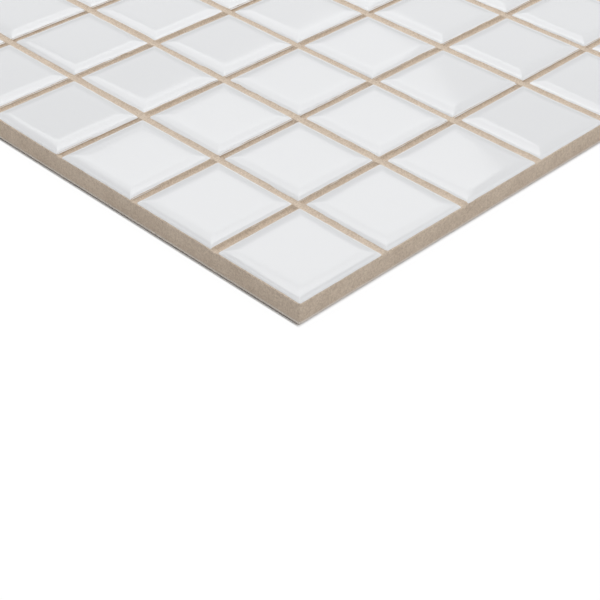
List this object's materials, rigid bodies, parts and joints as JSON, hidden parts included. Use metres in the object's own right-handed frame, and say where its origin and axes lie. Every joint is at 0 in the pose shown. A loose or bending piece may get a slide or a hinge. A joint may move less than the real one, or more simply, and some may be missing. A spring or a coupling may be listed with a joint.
{
  "type": "mosaic tile sheet",
  "caption": "Square sheet of small glazed ceramic tiles with cushioned edges, grouted flush round the outer edge and held on a thin mesh backing.",
  "frame": {"origin": "centre of the underside of the mesh backing, on the surface the sheet lies on", "axes": "+Z out of the glazed faces, X along the rows of tiles, Y across them"},
  "size_m": [0.3038, 0.3038, 0.0063],
  "materials": {
    "white_glaze": "glossy",
    "tan_grout": "matte",
    "backing_mesh": "matte"
  },
  "bodies": {
    "root": {"tile_row_01": "white_glaze", "tile_row_02": "white_glaze", "tile_row_03": "white_glaze", "tile_row_04": "white_glaze", "tile_row_05": "white_glaze", "tile_row_06": "white_glaze", "tile_row_07": "white_glaze", "tile_row_08": "white_glaze", "tile_row_09": "white_glaze", "tile_row_10": "white_glaze", "tile_row_11": "white_glaze", "tile_row_12": "white_glaze", "grout": "tan_grout", "mesh_backing": "backing_mesh"}
  },
  "joints": []
}
